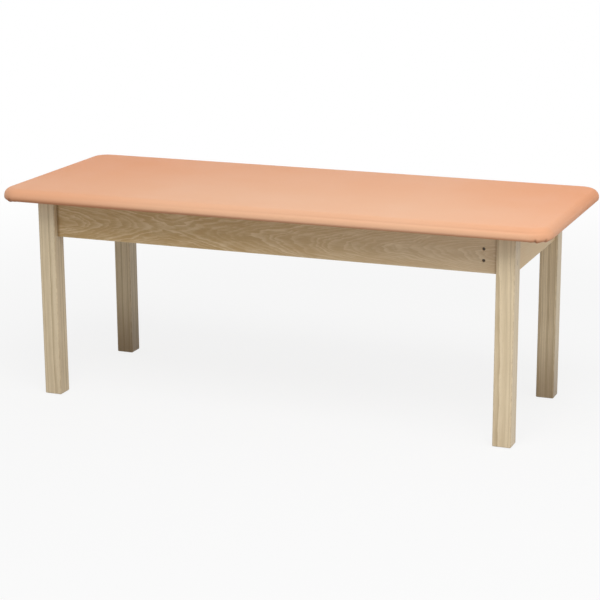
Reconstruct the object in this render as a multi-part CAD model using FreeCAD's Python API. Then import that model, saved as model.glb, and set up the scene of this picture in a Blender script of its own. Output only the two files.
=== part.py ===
import FreeCAD, Part
import math
import os

from FreeCAD import Vector

# Treatment table: a padded, vinyl-covered top on a bolted wooden frame. All sizes are in millimetres.
# The origin is on the floor under the middle of the table. +X runs along its length to the right end,
# +Y to the rear side and +Z up. The table looks the same after a half turn about the Z axis.

# Overall sizes
TABLE_LENGTH = 1800.0
TABLE_WIDTH = 700.0
TABLE_HEIGHT = 690.0

# Padded top: plan corners, a nearly half-round edge and a low crown with a level middle
PAD_CORNER_RADIUS = 65.0
FOAM_EDGE_STRAIGHT = 0.5
DECK_EDGE_STRAIGHT = 1.5
PAD_CROWN = 2.0
CROWN_FLAT_WIDTH = 200.0
CROWN_FLAT_CORNER = 60.0
CROWN_STEPS = 4
ROLL_STEPS = 6
UNDER_STEPS = 6
COVER_THICKNESS = 1.2
COVER_CLEARANCE = 0.3
COVER_TUCK = 45.0
FOAM_THICKNESS = 19.0
DECK_THICKNESS = 18.0

# Staples along the turned-in edge of the cover
STAPLE_CROWN = 10.0
STAPLE_WIRE = 0.8
STAPLE_LEG = 8.0
STAPLE_PITCH = 60.0
STAPLE_INSET = 28.0

# Legs
LEG_SECTION = 58.0
LEG_INSET_END = 113.0
LEG_INSET_SIDE = 61.0
LEG_EDGE_RADIUS = 4.0
LEG_FOOT_CHAMFER = 1.5

# Aprons, and the tenons of the end aprons
APRON_HEIGHT = 121.0
APRON_THICKNESS = 22.0
APRON_EDGE_RADIUS = 1.5
LONG_APRON_SETBACK = 18.0
END_APRON_SETBACK = 10.0
TENON_THICKNESS = 9.0
TENON_SHOULDER = 14.0
MORTISE_BOLT_WALL = 6.0
MORTISE_CLEARANCE = 0.1
MORTISE_END_GAP = 1.0

# Cross bearers, dropped into housings in the long aprons
BEARER_COUNT = 3
BEARER_THICKNESS = 22.0
BEARER_HEIGHT = 60.0
BEARER_EDGE_RADIUS = 1.5
HOUSING_DEPTH = 8.0
HOUSING_CLEARANCE = 0.2

# Connector bolts and barrel nuts of the long aprons
BOLTS_PER_JOINT = 2
LOWER_BOLT_RISE = 38.0
BOLT_PITCH = 35.0
BOLT_DIAMETER = 6.0
BOLT_HOLE_CLEARANCE = 0.25
BOLT_HEAD_DIAMETER = 10.0
BOLT_HEAD_HEIGHT = 6.0
BOLT_HEAD_EDGE = 0.6
BOLT_TIP_CHAMFER = 0.8
BOLT_TIP_PROJECTION = 5.0
BOLT_TIP_GAP = 2.0
HEX_SOCKET_WIDTH = 5.0
HEX_SOCKET_DEPTH = 3.5
THREAD_CLEARANCE = 0.05
WASHER_DIAMETER = 14.0
WASHER_THICKNESS = 1.2
COUNTERBORE_DIAMETER = 16.0
PLUG_LENGTH = 8.0
PLUG_CLEARANCE = 0.1
PLUG_HEAD_GAP = 0.5
NUT_SETBACK = 42.0
NUT_DIAMETER = 10.0
NUT_LENGTH = 14.0
NUT_CLEARANCE = 0.1
NUT_SLOT_WIDTH = 1.6
NUT_SLOT_DEPTH = 1.8

# Steel angles that hold the deck to the aprons, and their screws
BRACKETS_PER_END = 2
BRACKET_LEG = 28.0
BRACKET_WIDTH = 18.0
BRACKET_THICKNESS = 2.0
BRACKET_BEND_RADIUS = 3.5
BRACKET_CORNER_RADIUS = 4.0
BRACKET_HOLE_DISTANCE = 17.0
BRACKET_HOLE_CLEARANCE = 0.3
SCREW_DIAMETER = 3.5
SCREW_HEAD_DIAMETER = 7.0
SCREW_HEAD_HEIGHT = 2.2
SCREW_HEAD_EDGE = 1.2
SCREW_TIP_LENGTH = 3.0
SCREW_TIP_RADIUS = 0.2
SCREW_RECESS_LENGTH = 4.0
SCREW_RECESS_WIDTH = 0.9
SCREW_RECESS_DEPTH = 1.3
PILOT_CLEARANCE = 0.05
PILOT_END_GAP = 0.5
DECK_SCREW_COVER = 2.0

# Floor glides, nailed into the feet
GLIDE_DIAMETER = 34.0
GLIDE_HEIGHT = 2.5
GLIDE_CHAMFER = 0.8
NAIL_DIAMETER = 2.5
NAIL_LENGTH = 22.0
NAIL_TIP_RADIUS = 0.2
NAIL_HEAD_DIAMETER = 6.0
NAIL_HEAD_HEIGHT = 1.0
NAIL_HEAD_RECESS = 1.6
NAIL_CLEARANCE = 0.1

# Levels, from the top down
COVER_GAP = COVER_THICKNESS + COVER_CLEARANCE
PAD_ROLL_RADIUS = FOAM_THICKNESS + COVER_GAP - FOAM_EDGE_STRAIGHT
PAD_UNDER_RADIUS = DECK_THICKNESS + COVER_GAP - DECK_EDGE_STRAIGHT
PAD_EDGE_TOP = TABLE_HEIGHT - PAD_CROWN
DECK_TOP = PAD_EDGE_TOP - COVER_GAP - FOAM_THICKNESS
FRAME_TOP = DECK_TOP - DECK_THICKNESS
PAD_BOTTOM = FRAME_TOP - COVER_GAP
APRON_BOTTOM = FRAME_TOP - APRON_HEIGHT
BOLT_LEVELS = [APRON_BOTTOM + LOWER_BOLT_RISE + BOLT_PITCH * i for i in range(BOLTS_PER_JOINT)]

# Places on the right and rear sides; the left and front sides mirror them
LEG_OUTER_X = TABLE_LENGTH / 2 - LEG_INSET_END
LEG_INNER_X = LEG_OUTER_X - LEG_SECTION
LEG_OUTER_Y = TABLE_WIDTH / 2 - LEG_INSET_SIDE
LEG_INNER_Y = LEG_OUTER_Y - LEG_SECTION
LEG_CENTRE_X = (LEG_OUTER_X + LEG_INNER_X) / 2
LEG_CENTRE_Y = (LEG_OUTER_Y + LEG_INNER_Y) / 2
LONG_APRON_INNER_Y = LEG_OUTER_Y - LONG_APRON_SETBACK - APRON_THICKNESS
LONG_APRON_CENTRE_Y = LONG_APRON_INNER_Y + APRON_THICKNESS / 2
END_APRON_INNER_X = LEG_OUTER_X - END_APRON_SETBACK - APRON_THICKNESS
END_APRON_CENTRE_X = END_APRON_INNER_X + APRON_THICKNESS / 2

# Bolted joint, from the leg's outer end face inwards
BOLT_HOLE_RADIUS = BOLT_DIAMETER / 2 + BOLT_HOLE_CLEARANCE
COUNTERBORE_DEPTH = PLUG_LENGTH + PLUG_HEAD_GAP + BOLT_HEAD_HEIGHT + WASHER_THICKNESS
WASHER_SEAT_X = LEG_OUTER_X - COUNTERBORE_DEPTH
BOLT_SEAT_X = WASHER_SEAT_X + WASHER_THICKNESS
NUT_X = LEG_INNER_X - NUT_SETBACK
BOLT_TIP_X = NUT_X - NUT_DIAMETER / 2 - BOLT_TIP_PROJECTION
NUT_HOLE_DEPTH = (APRON_THICKNESS + NUT_LENGTH) / 2
MORTISE_DEPTH = LONG_APRON_CENTRE_Y - BOLT_HOLE_RADIUS - MORTISE_BOLT_WALL - LEG_INNER_Y
SCREW_BITE = DECK_THICKNESS - DECK_SCREW_COVER

TOLERANCE = 0.001
AXIS_X = Vector(1, 0, 0)
AXIS_Y = Vector(0, 1, 0)
AXIS_Z = Vector(0, 0, 1)
ORIGIN = Vector(0, 0, 0)


def placed(shape, position, turn=0.0):
    """Copy of a shape, turned about Z by an angle in degrees and then moved."""
    copy = shape.copy()
    copy.rotate(ORIGIN, AXIS_Z, turn)
    copy.translate(position)
    return copy


def half_turn(shape):
    """Copy of a shape on the opposite side of the table."""
    return placed(shape, ORIGIN, 180)


def with_half_turns(shapes):
    """The shapes and their copies on the opposite side of the table."""
    return shapes + [half_turn(shape) for shape in shapes]


def block(low, high):
    """Box between two corners."""
    size = high - low
    return Part.makeBox(size.x, size.y, size.z, low)


def rod(radius, start, end):
    """Cylinder from one point to another."""
    return Part.makeCylinder(radius, (end - start).Length, start, end - start)


def edges_at_level(shape, z):
    """Edges that lie level at a height."""
    return [edge for edge in shape.Edges if all(abs(v.Z - z) < TOLERANCE for v in edge.Vertexes)]


def edges_of_length(edges, length):
    """Edges of one length."""
    return [edge for edge in edges if abs(edge.Length - length) < TOLERANCE]


def rounded_outline(inset, radius, z):
    """Level outline inside the pad's outer edge: four sides and four quarter arcs."""
    reach_x = TABLE_LENGTH / 2 - inset - radius
    reach_y = TABLE_WIDTH / 2 - inset - radius
    centres = [(reach_x, -reach_y), (reach_x, reach_y), (-reach_x, reach_y), (-reach_x, -reach_y)]
    arcs = []
    for quarter, (x, y) in enumerate(centres):
        angles = [math.radians(90 * quarter - 90 + swing) for swing in (0, 45, 90)]
        arcs.append([Vector(x + radius * math.cos(a), y + radius * math.sin(a), z) for a in angles])
    edges = []
    for quarter, points in enumerate(arcs):
        next_start = arcs[(quarter + 1) % len(arcs)][0]
        edges.append(Part.Arc(*points).toShape())
        edges.append(Part.makeLine(points[-1], next_start))
    return Part.Wire(edges)


def under_rings(depth):
    """Rings of the rounded lower edge, for a surface that lies some depth inside the cover's face."""
    radius = PAD_UNDER_RADIUS - depth
    rings = []
    for step in range(UNDER_STEPS + 1):
        angle = math.radians(90 * (1 - step / UNDER_STEPS))
        inset = PAD_UNDER_RADIUS - radius * math.cos(angle)
        z = PAD_BOTTOM + PAD_UNDER_RADIUS - radius * math.sin(angle)
        rings.append((inset, PAD_CORNER_RADIUS - inset, z))
    return rings


def roll_rings(depth):
    """Rings of the rolled upper edge, for a surface that lies some depth inside the cover's face."""
    radius = PAD_ROLL_RADIUS - depth
    rings = []
    for step in range(ROLL_STEPS + 1):
        angle = math.radians(90 * step / ROLL_STEPS)
        inset = PAD_ROLL_RADIUS - radius * math.cos(angle)
        z = PAD_EDGE_TOP - PAD_ROLL_RADIUS + radius * math.sin(angle)
        rings.append((inset, PAD_CORNER_RADIUS - inset, z))
    return rings


def crown_rings(depth):
    """Rings of the crown, from the roll to the level middle of the top."""
    flat_inset = (TABLE_WIDTH - CROWN_FLAT_WIDTH) / 2
    roll_corner = PAD_CORNER_RADIUS - PAD_ROLL_RADIUS
    rings = []
    for step in range(1, CROWN_STEPS + 1):
        share = step / CROWN_STEPS
        inset = PAD_ROLL_RADIUS + (flat_inset - PAD_ROLL_RADIUS) * share
        radius = roll_corner + (CROWN_FLAT_CORNER - roll_corner) * share
        z = PAD_EDGE_TOP - depth + PAD_CROWN * math.sin(math.radians(90 * share))
        rings.append((inset, radius, z))
    return rings


def lofted(rings):
    """Solid through level rings, from the lowest to the highest."""
    wires = [rounded_outline(*ring) for ring in rings]
    return Part.makeLoft(wires, True, True)


def make_deck():
    """Plywood board with the rounded lower edge that the cover is drawn round."""
    top_ring = (COVER_GAP, PAD_CORNER_RADIUS - COVER_GAP, DECK_TOP)
    return lofted(under_rings(COVER_GAP) + [top_ring])


def make_foam():
    """Foam slab on the deck, with a rolled edge and a low crown."""
    bottom_ring = (COVER_GAP, PAD_CORNER_RADIUS - COVER_GAP, DECK_TOP)
    return lofted([bottom_ring] + roll_rings(COVER_GAP) + crown_rings(COVER_GAP))


def make_cover():
    """Vinyl skin round the foam and the deck, turned in under the deck and open inside that margin."""
    outside = lofted(under_rings(0) + roll_rings(0) + crown_rings(0))
    inside = lofted(under_rings(COVER_THICKNESS) + roll_rings(COVER_THICKNESS) + crown_rings(COVER_THICKNESS))
    window = rounded_outline(COVER_TUCK, PAD_CORNER_RADIUS, PAD_BOTTOM - COVER_GAP)
    opening = Part.Face(window).extrude(AXIS_Z * (2 * COVER_GAP + DECK_THICKNESS / 2))
    return outside.cut(inside.fuse(opening))


def make_staple():
    """Staple along X, its crown under the cover's turned-in edge at the origin and its legs up."""
    half = STAPLE_CROWN / 2
    wire = STAPLE_WIRE / 2
    crown = block(Vector(-half, -wire, -STAPLE_WIRE), Vector(half, wire, 0))
    left_leg = block(Vector(-half, -wire, 0), Vector(STAPLE_WIRE - half, wire, STAPLE_LEG))
    right_leg = block(Vector(half - STAPLE_WIRE, -wire, 0), Vector(half, wire, STAPLE_LEG))
    return crown.fuse([left_leg, right_leg]).removeSplitter()


def evenly_spaced(span, pitch):
    """Places centred on zero that fill a span at about the given pitch."""
    count = max(1, round(span / pitch))
    step = span / count
    return [step * (i + 0.5) - span / 2 for i in range(count)]


def make_staples():
    """Row of staples along every side of the turned-in cover, and one across each corner."""
    staple = make_staple()
    side_x = TABLE_LENGTH / 2 - STAPLE_INSET
    side_y = TABLE_WIDTH / 2 - STAPLE_INSET
    corner_shift = (PAD_CORNER_RADIUS - STAPLE_INSET) * (1 - math.sqrt(0.5))
    half_set = []
    for x in evenly_spaced(TABLE_LENGTH - 2 * PAD_CORNER_RADIUS, STAPLE_PITCH):
        half_set.append(placed(staple, Vector(x, -side_y, PAD_BOTTOM)))
    for y in evenly_spaced(TABLE_WIDTH - 2 * PAD_CORNER_RADIUS, STAPLE_PITCH):
        half_set.append(placed(staple, Vector(side_x, y, PAD_BOTTOM), 90))
    for side in (-1, 1):
        corner = Vector(side * (side_x - corner_shift), -side_y + corner_shift, PAD_BOTTOM)
        half_set.append(placed(staple, corner, side * 45))
    return with_half_turns(half_set)


def make_leg(side_x, side_y):
    """Square post with eased edges, a mortise for the end apron and holes for the connector bolts."""
    half = LEG_SECTION / 2
    centre = Vector(side_x * LEG_CENTRE_X, side_y * LEG_CENTRE_Y, 0)
    post = block(centre + Vector(-half, -half, GLIDE_HEIGHT), centre + Vector(half, half, FRAME_TOP))
    post = post.makeFillet(LEG_EDGE_RADIUS, edges_of_length(post.Edges, FRAME_TOP - GLIDE_HEIGHT))
    post = post.makeChamfer(LEG_FOOT_CHAMFER, edges_at_level(post, GLIDE_HEIGHT))
    cuts = [mortise(side_x, side_y), nail_hole(centre)]
    for z in BOLT_LEVELS:
        cuts.extend(leg_bolt_holes(side_x, side_y, z))
    return post.cut(cuts)


def mortise(side_x, side_y):
    """Pocket in a leg's inner face for the end apron's tenon."""
    half = TENON_THICKNESS / 2 + MORTISE_CLEARANCE
    low_z = APRON_BOTTOM + TENON_SHOULDER - MORTISE_CLEARANCE
    high_z = FRAME_TOP - TENON_SHOULDER + MORTISE_CLEARANCE
    x = side_x * END_APRON_CENTRE_X
    ends_y = sorted([side_y * LEG_INNER_Y, side_y * (LEG_INNER_Y + MORTISE_DEPTH)])
    return block(Vector(x - half, ends_y[0], low_z), Vector(x + half, ends_y[1], high_z))


def leg_bolt_holes(side_x, side_y, z):
    """Bolt hole right through a leg, and the counterbore for the washer, the head and the plug."""
    y = side_y * LONG_APRON_CENTRE_Y
    outer = Vector(side_x * LEG_OUTER_X, y, z)
    inner = Vector(side_x * LEG_INNER_X, y, z)
    seat = Vector(side_x * WASHER_SEAT_X, y, z)
    return [rod(BOLT_HOLE_RADIUS, inner, outer), rod(COUNTERBORE_DIAMETER / 2, seat, outer)]


def nail_hole(centre):
    """Hole in the foot of a leg for the glide's nail."""
    foot = centre + AXIS_Z * GLIDE_HEIGHT
    tip = centre + AXIS_Z * (NAIL_HEAD_RECESS + NAIL_LENGTH)
    return rod(NAIL_DIAMETER / 2 + NAIL_CLEARANCE, foot, tip)


def eased_board(low, high, edge_radius):
    """Board with its two long lower edges rounded over."""
    board = block(low, high)
    length = max(high.x - low.x, high.y - low.y)
    return board.makeFillet(edge_radius, edges_of_length(edges_at_level(board, low.z), length))


def bearer_places():
    """Places of the cross bearers along the table."""
    return evenly_spaced_inside(LEG_INNER_X, BEARER_COUNT)


def evenly_spaced_inside(reach, count):
    """Places that divide the span from minus to plus a reach into equal bays."""
    bay = 2 * reach / (count + 1)
    return [bay * (i + 1) - reach for i in range(count)]


def make_front_apron(screw_holes):
    """Front rail, with bearer housings, bolt holes in its ends and barrel-nut holes.

    The nut holes open on the outer face at the right end and on the inner face at the left end.
    """
    low = Vector(-LEG_INNER_X, -LONG_APRON_INNER_Y - APRON_THICKNESS, APRON_BOTTOM)
    high = Vector(LEG_INNER_X, -LONG_APRON_INNER_Y, FRAME_TOP)
    cuts = list(screw_holes)
    for x in bearer_places():
        half = BEARER_THICKNESS / 2 + HOUSING_CLEARANCE
        floor = Vector(x - half, high.y - HOUSING_DEPTH, FRAME_TOP - BEARER_HEIGHT)
        cuts.append(block(floor, Vector(x + half, high.y, FRAME_TOP)))
    for z in BOLT_LEVELS:
        cuts.extend(apron_bolt_holes(z))
    return eased_board(low, high, APRON_EDGE_RADIUS).cut(cuts)


def apron_bolt_holes(z):
    """Bolt holes in both ends of the front apron at one level, and the nut holes that cross them."""
    radius = NUT_DIAMETER / 2 + NUT_CLEARANCE
    holes = []
    for side, mouth in ((1, -1), (-1, 1)):
        axis_y = -LONG_APRON_CENTRE_Y
        end = Vector(side * LEG_INNER_X, axis_y, z)
        tip = Vector(side * (BOLT_TIP_X - BOLT_TIP_GAP), axis_y, z)
        face = Vector(side * NUT_X, axis_y + mouth * APRON_THICKNESS / 2, z)
        floor = face - AXIS_Y * mouth * NUT_HOLE_DEPTH
        holes.append(rod(BOLT_HOLE_RADIUS, tip, end))
        holes.append(rod(radius, floor, face))
    return holes


def make_right_end_apron(screw_holes):
    """Right-hand short rail with a stub tenon at each end."""
    low = Vector(END_APRON_INNER_X, -LEG_INNER_Y, APRON_BOTTOM)
    high = Vector(END_APRON_INNER_X + APRON_THICKNESS, LEG_INNER_Y, FRAME_TOP)
    reach = LEG_INNER_Y + MORTISE_DEPTH - MORTISE_END_GAP
    half = TENON_THICKNESS / 2
    tenon_low = Vector(END_APRON_CENTRE_X - half, -reach, APRON_BOTTOM + TENON_SHOULDER)
    tenon_high = Vector(END_APRON_CENTRE_X + half, reach, FRAME_TOP - TENON_SHOULDER)
    rail = eased_board(low, high, APRON_EDGE_RADIUS).fuse(block(tenon_low, tenon_high))
    return rail.cut(list(screw_holes))


def make_bearer(x):
    """Cross rail under the deck, its ends in the long aprons' housings."""
    reach = LONG_APRON_INNER_Y + HOUSING_DEPTH - HOUSING_CLEARANCE
    half = BEARER_THICKNESS / 2
    low = Vector(x - half, -reach, FRAME_TOP - BEARER_HEIGHT)
    return eased_board(low, Vector(x + half, reach, FRAME_TOP), BEARER_EDGE_RADIUS)


def hexagon_prism(width, start, depth):
    """Hexagonal prism along X, with its width measured across the flats."""
    radius = width / math.sqrt(3)
    angles = [math.radians(60 * corner) for corner in range(7)]
    points = [start + Vector(0, radius * math.cos(a), radius * math.sin(a)) for a in angles]
    return Part.Face(Part.makePolygon(points)).extrude(AXIS_X * depth)


def make_bolt():
    """Socket-head bolt along X with its seat at the origin and its tip towards -X."""
    radius = BOLT_DIAMETER / 2
    length = BOLT_SEAT_X - BOLT_TIP_X
    head = rod(BOLT_HEAD_DIAMETER / 2, ORIGIN, AXIS_X * BOLT_HEAD_HEIGHT)
    rim = [edge for edge in head.Edges if edge.CenterOfMass.x > BOLT_HEAD_HEIGHT - TOLERANCE]
    head = head.makeFillet(BOLT_HEAD_EDGE, rim)
    shank = rod(radius, AXIS_X * (BOLT_TIP_CHAMFER - length), ORIGIN)
    tip = Part.makeCone(
        radius, radius - BOLT_TIP_CHAMFER, BOLT_TIP_CHAMFER, AXIS_X * (BOLT_TIP_CHAMFER - length), -AXIS_X)
    socket_floor = AXIS_X * (BOLT_HEAD_HEIGHT - HEX_SOCKET_DEPTH)
    socket = hexagon_prism(HEX_SOCKET_WIDTH, socket_floor, HEX_SOCKET_DEPTH)
    return head.fuse([shank, tip]).cut(socket)


def make_washer():
    """Flat washer along X, its seat at the origin."""
    disc = rod(WASHER_DIAMETER / 2, ORIGIN, AXIS_X * WASHER_THICKNESS)
    return disc.cut(rod(BOLT_HOLE_RADIUS, ORIGIN, AXIS_X * WASHER_THICKNESS))


def make_plug():
    """Wooden plug along X, its outer end at the origin."""
    return rod(COUNTERBORE_DIAMETER / 2 - PLUG_CLEARANCE, -AXIS_X * PLUG_LENGTH, ORIGIN)


def make_barrel_nut():
    """Cross nut along Y with a threaded cross hole along X and a screwdriver slot in its -Y end."""
    half = NUT_LENGTH / 2
    radius = NUT_DIAMETER / 2
    body = rod(radius, -AXIS_Y * half, AXIS_Y * half)
    thread = rod(BOLT_DIAMETER / 2 + THREAD_CLEARANCE, -AXIS_X * NUT_DIAMETER, AXIS_X * NUT_DIAMETER)
    slot_low = Vector(-NUT_DIAMETER, -half, -NUT_SLOT_WIDTH / 2)
    slot_high = Vector(NUT_DIAMETER, NUT_SLOT_DEPTH - half, NUT_SLOT_WIDTH / 2)
    return body.cut([thread, block(slot_low, slot_high)])


def at_bolted_joints(piece, x):
    """A piece along X at every connector bolt, where x is its place at the right end."""
    copies = []
    for side_y in (-1, 1):
        for z in BOLT_LEVELS:
            copies.append(placed(piece, Vector(x, side_y * LONG_APRON_CENTRE_Y, z)))
    return with_half_turns(copies)


def make_barrel_nuts():
    """Nuts of the front apron, slots towards the mouths of their holes, and those of the rear apron."""
    nut = make_barrel_nut()
    front_nuts = []
    for z in BOLT_LEVELS:
        front_nuts.append(placed(nut, Vector(NUT_X, -LONG_APRON_CENTRE_Y, z)))
        front_nuts.append(placed(nut, Vector(-NUT_X, -LONG_APRON_CENTRE_Y, z), 180))
    return with_half_turns(front_nuts)


def make_bracket():
    """Steel angle in the corner at the origin: one leg down the apron, one inwards under the deck."""
    bend = BRACKET_BEND_RADIUS
    inner = bend - BRACKET_THICKNESS
    slant = math.sqrt(0.5)
    low_end = Vector(0, 0, -BRACKET_LEG)
    far_end = Vector(0, BRACKET_LEG, 0)
    centre = Vector(0, bend, -bend)
    down_y = AXIS_Y * BRACKET_THICKNESS
    down_z = -AXIS_Z * BRACKET_THICKNESS
    towards_corner = Vector(0, -slant, slant)
    outer_arc = [centre - AXIS_Y * bend, centre + towards_corner * bend, centre + AXIS_Z * bend]
    inner_arc = [centre + AXIS_Z * inner, centre + towards_corner * inner, centre - AXIS_Y * inner]
    edges = [
        Part.makeLine(low_end, outer_arc[0]),
        Part.Arc(*outer_arc).toShape(),
        Part.makeLine(outer_arc[2], far_end),
        Part.makeLine(far_end, far_end + down_z),
        Part.makeLine(far_end + down_z, inner_arc[0]),
        Part.Arc(*inner_arc).toShape(),
        Part.makeLine(inner_arc[2], low_end + down_y),
        Part.makeLine(low_end + down_y, low_end),
    ]
    profile = Part.Face(Part.Wire(edges))
    profile.translate(-AXIS_X * BRACKET_WIDTH / 2)
    angle = profile.extrude(AXIS_X * BRACKET_WIDTH)
    angle = angle.makeFillet(BRACKET_CORNER_RADIUS, edges_of_length(angle.Edges, BRACKET_THICKNESS))
    radius = SCREW_DIAMETER / 2 + BRACKET_HOLE_CLEARANCE
    apron_hole = Vector(0, 0, -BRACKET_HOLE_DISTANCE)
    deck_hole = Vector(0, BRACKET_HOLE_DISTANCE, 0)
    return angle.cut([rod(radius, apron_hole, apron_hole + down_y), rod(radius, deck_hole, deck_hole + down_z)])


def make_screw():
    """Pan-head wood screw along Z with its head's seat at the origin and its point up."""
    radius = SCREW_DIAMETER / 2
    length = BRACKET_THICKNESS + SCREW_BITE
    head = rod(SCREW_HEAD_DIAMETER / 2, -AXIS_Z * SCREW_HEAD_HEIGHT, ORIGIN)
    head = head.makeFillet(SCREW_HEAD_EDGE, edges_at_level(head, -SCREW_HEAD_HEIGHT))
    shank_end = AXIS_Z * (length - SCREW_TIP_LENGTH)
    shank = rod(radius, ORIGIN, shank_end)
    tip = Part.makeCone(radius, SCREW_TIP_RADIUS, SCREW_TIP_LENGTH, shank_end, AXIS_Z)
    long_half = SCREW_RECESS_LENGTH / 2
    short_half = SCREW_RECESS_WIDTH / 2
    top = -SCREW_HEAD_HEIGHT
    floor = top + SCREW_RECESS_DEPTH
    recess = [
        block(Vector(-long_half, -short_half, top), Vector(long_half, short_half, floor)),
        block(Vector(-short_half, -long_half, top), Vector(short_half, long_half, floor)),
    ]
    return head.fuse([shank, tip]).cut(recess)


def lying(shape):
    """Copy of a shape along Z, laid down so that its top points to -Y."""
    copy = shape.copy()
    copy.rotate(ORIGIN, AXIS_X, 90)
    return copy


def bracket_set(position, turn):
    """One angle with its deck screw, its apron screw and the pilot holes in the deck and the apron."""
    screw = make_screw()
    pilot_end = AXIS_Z * (BRACKET_THICKNESS + SCREW_BITE + PILOT_END_GAP)
    pilot = rod(SCREW_DIAMETER / 2 + PILOT_CLEARANCE, ORIGIN, pilot_end)
    deck_seat = Vector(0, BRACKET_HOLE_DISTANCE, -BRACKET_THICKNESS)
    apron_seat = Vector(0, BRACKET_THICKNESS, -BRACKET_HOLE_DISTANCE)
    pieces = {
        "bracket": make_bracket(),
        "deck_screw": placed(screw, deck_seat),
        "apron_screw": placed(lying(screw), apron_seat),
        "deck_hole": placed(pilot, deck_seat),
        "apron_hole": placed(lying(pilot), apron_seat),
    }
    return {name: placed(shape, position, turn) for name, shape in pieces.items()}


def front_bracket_sets():
    """Angles along the front apron, one in the middle of each bay between legs and bearers."""
    bays = BEARER_COUNT + 1
    places = evenly_spaced(2 * LEG_INNER_X, 2 * LEG_INNER_X / bays)
    return [bracket_set(Vector(x, -LONG_APRON_INNER_Y, FRAME_TOP), 0) for x in places]


def right_bracket_sets():
    """Angles along the right end apron."""
    places = evenly_spaced_inside(LEG_INNER_Y, BRACKETS_PER_END)
    return [bracket_set(Vector(END_APRON_INNER_X, y, FRAME_TOP), 90) for y in places]


def make_glide(centre):
    """Round plastic glide under a leg, recessed for the head of its nail."""
    top = centre + AXIS_Z * GLIDE_HEIGHT
    disc = rod(GLIDE_DIAMETER / 2, centre, top)
    disc = disc.makeChamfer(GLIDE_CHAMFER, edges_at_level(disc, centre.z))
    shank_hole = rod(NAIL_DIAMETER / 2 + NAIL_CLEARANCE, centre, top)
    head_hole = rod(NAIL_HEAD_DIAMETER / 2 + NAIL_CLEARANCE, centre, centre + AXIS_Z * NAIL_HEAD_RECESS)
    return disc.cut([shank_hole, head_hole])


def make_nail(centre):
    """Flat-head nail through a glide into the leg."""
    seat = centre + AXIS_Z * NAIL_HEAD_RECESS
    head = rod(NAIL_HEAD_DIAMETER / 2, seat - AXIS_Z * NAIL_HEAD_HEIGHT, seat)
    shank_end = seat + AXIS_Z * (NAIL_LENGTH - NAIL_DIAMETER)
    shank = rod(NAIL_DIAMETER / 2, seat, shank_end)
    tip = Part.makeCone(NAIL_DIAMETER / 2, NAIL_TIP_RADIUS, NAIL_DIAMETER, shank_end, AXIS_Z)
    return head.fuse([shank, tip])


def collect(sets, name):
    """One kind of shape from every bracket set."""
    return [pieces[name] for pieces in sets]


def make_pad_nodes(deck_holes):
    """Deck, foam, cover and the staples that hold the cover to the deck."""
    staples = make_staples()
    return {
        "deck_board": make_deck().cut(staples + deck_holes),
        "foam_slab": make_foam(),
        "vinyl_cover": make_cover().cut(staples),
        "cover_staples": Part.makeCompound(staples),
    }


def make_leg_nodes():
    """Four legs with their glides and nails."""
    nodes = {}
    nails = []
    for side_y, depth_name in ((-1, "front"), (1, "rear")):
        for side_x, end_name in ((-1, "left"), (1, "right")):
            foot = Vector(side_x * LEG_CENTRE_X, side_y * LEG_CENTRE_Y, 0)
            nodes[f"leg_{depth_name}_{end_name}"] = make_leg(side_x, side_y)
            nodes[f"glide_{depth_name}_{end_name}"] = make_glide(foot)
            nails.append(make_nail(foot))
    nodes["glide_nails"] = Part.makeCompound(nails)
    return nodes


def make_rail_nodes(front_holes, right_holes):
    """Four aprons and the cross bearers between the long ones."""
    front_apron = make_front_apron(front_holes)
    right_apron = make_right_end_apron(right_holes)
    nodes = {
        "front_apron": front_apron,
        "rear_apron": half_turn(front_apron),
        "right_end_apron": right_apron,
        "left_end_apron": half_turn(right_apron),
    }
    for name, x in zip(("left", "centre", "right"), bearer_places()):
        nodes[f"{name}_cross_bearer"] = make_bearer(x)
    return nodes


def make_joint_hardware():
    """Connector bolts, washers, plugs and barrel nuts of the long aprons' joints."""
    return {
        "connector_bolts": Part.makeCompound(at_bolted_joints(make_bolt(), BOLT_SEAT_X)),
        "bolt_washers": Part.makeCompound(at_bolted_joints(make_washer(), WASHER_SEAT_X)),
        "bolt_plugs": Part.makeCompound(at_bolted_joints(make_plug(), LEG_OUTER_X)),
        "barrel_nuts": Part.makeCompound(make_barrel_nuts()),
    }


def make_table():
    """Every node of the table by name."""
    front_sets = front_bracket_sets()
    right_sets = right_bracket_sets()
    both_sets = front_sets + right_sets
    screws = collect(both_sets, "deck_screw") + collect(both_sets, "apron_screw")
    nodes = make_pad_nodes(with_half_turns(collect(both_sets, "deck_hole")))
    nodes.update(make_leg_nodes())
    nodes.update(make_rail_nodes(collect(front_sets, "apron_hole"), collect(right_sets, "apron_hole")))
    nodes.update(make_joint_hardware())
    nodes["deck_brackets"] = Part.makeCompound(with_half_turns(collect(both_sets, "bracket")))
    nodes["bracket_screws"] = Part.makeCompound(with_half_turns(screws))
    return nodes


os.makedirs("parts", exist_ok=True)
for node_name, node_shape in make_table().items():
    node_shape.exportStep(f"parts/{node_name}.step")
    print(node_name, len(node_shape.Solids), "solids, valid", node_shape.isValid(), round(node_shape.Volume))
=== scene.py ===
"""Looks of the treatment table: padded vinyl top, wooden frame, fittings and studio stage.

The file is laid out as a Blender add-on and is run as a script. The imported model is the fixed
frame, and every piece made here sits on it. Lengths are in metres. +X runs along the table to its
right end, +Y to the rear side and +Z up.
"""
import math

import bpy
import numpy as np
from mathutils import Euler, Matrix, Vector, kdtree, noise


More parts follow.
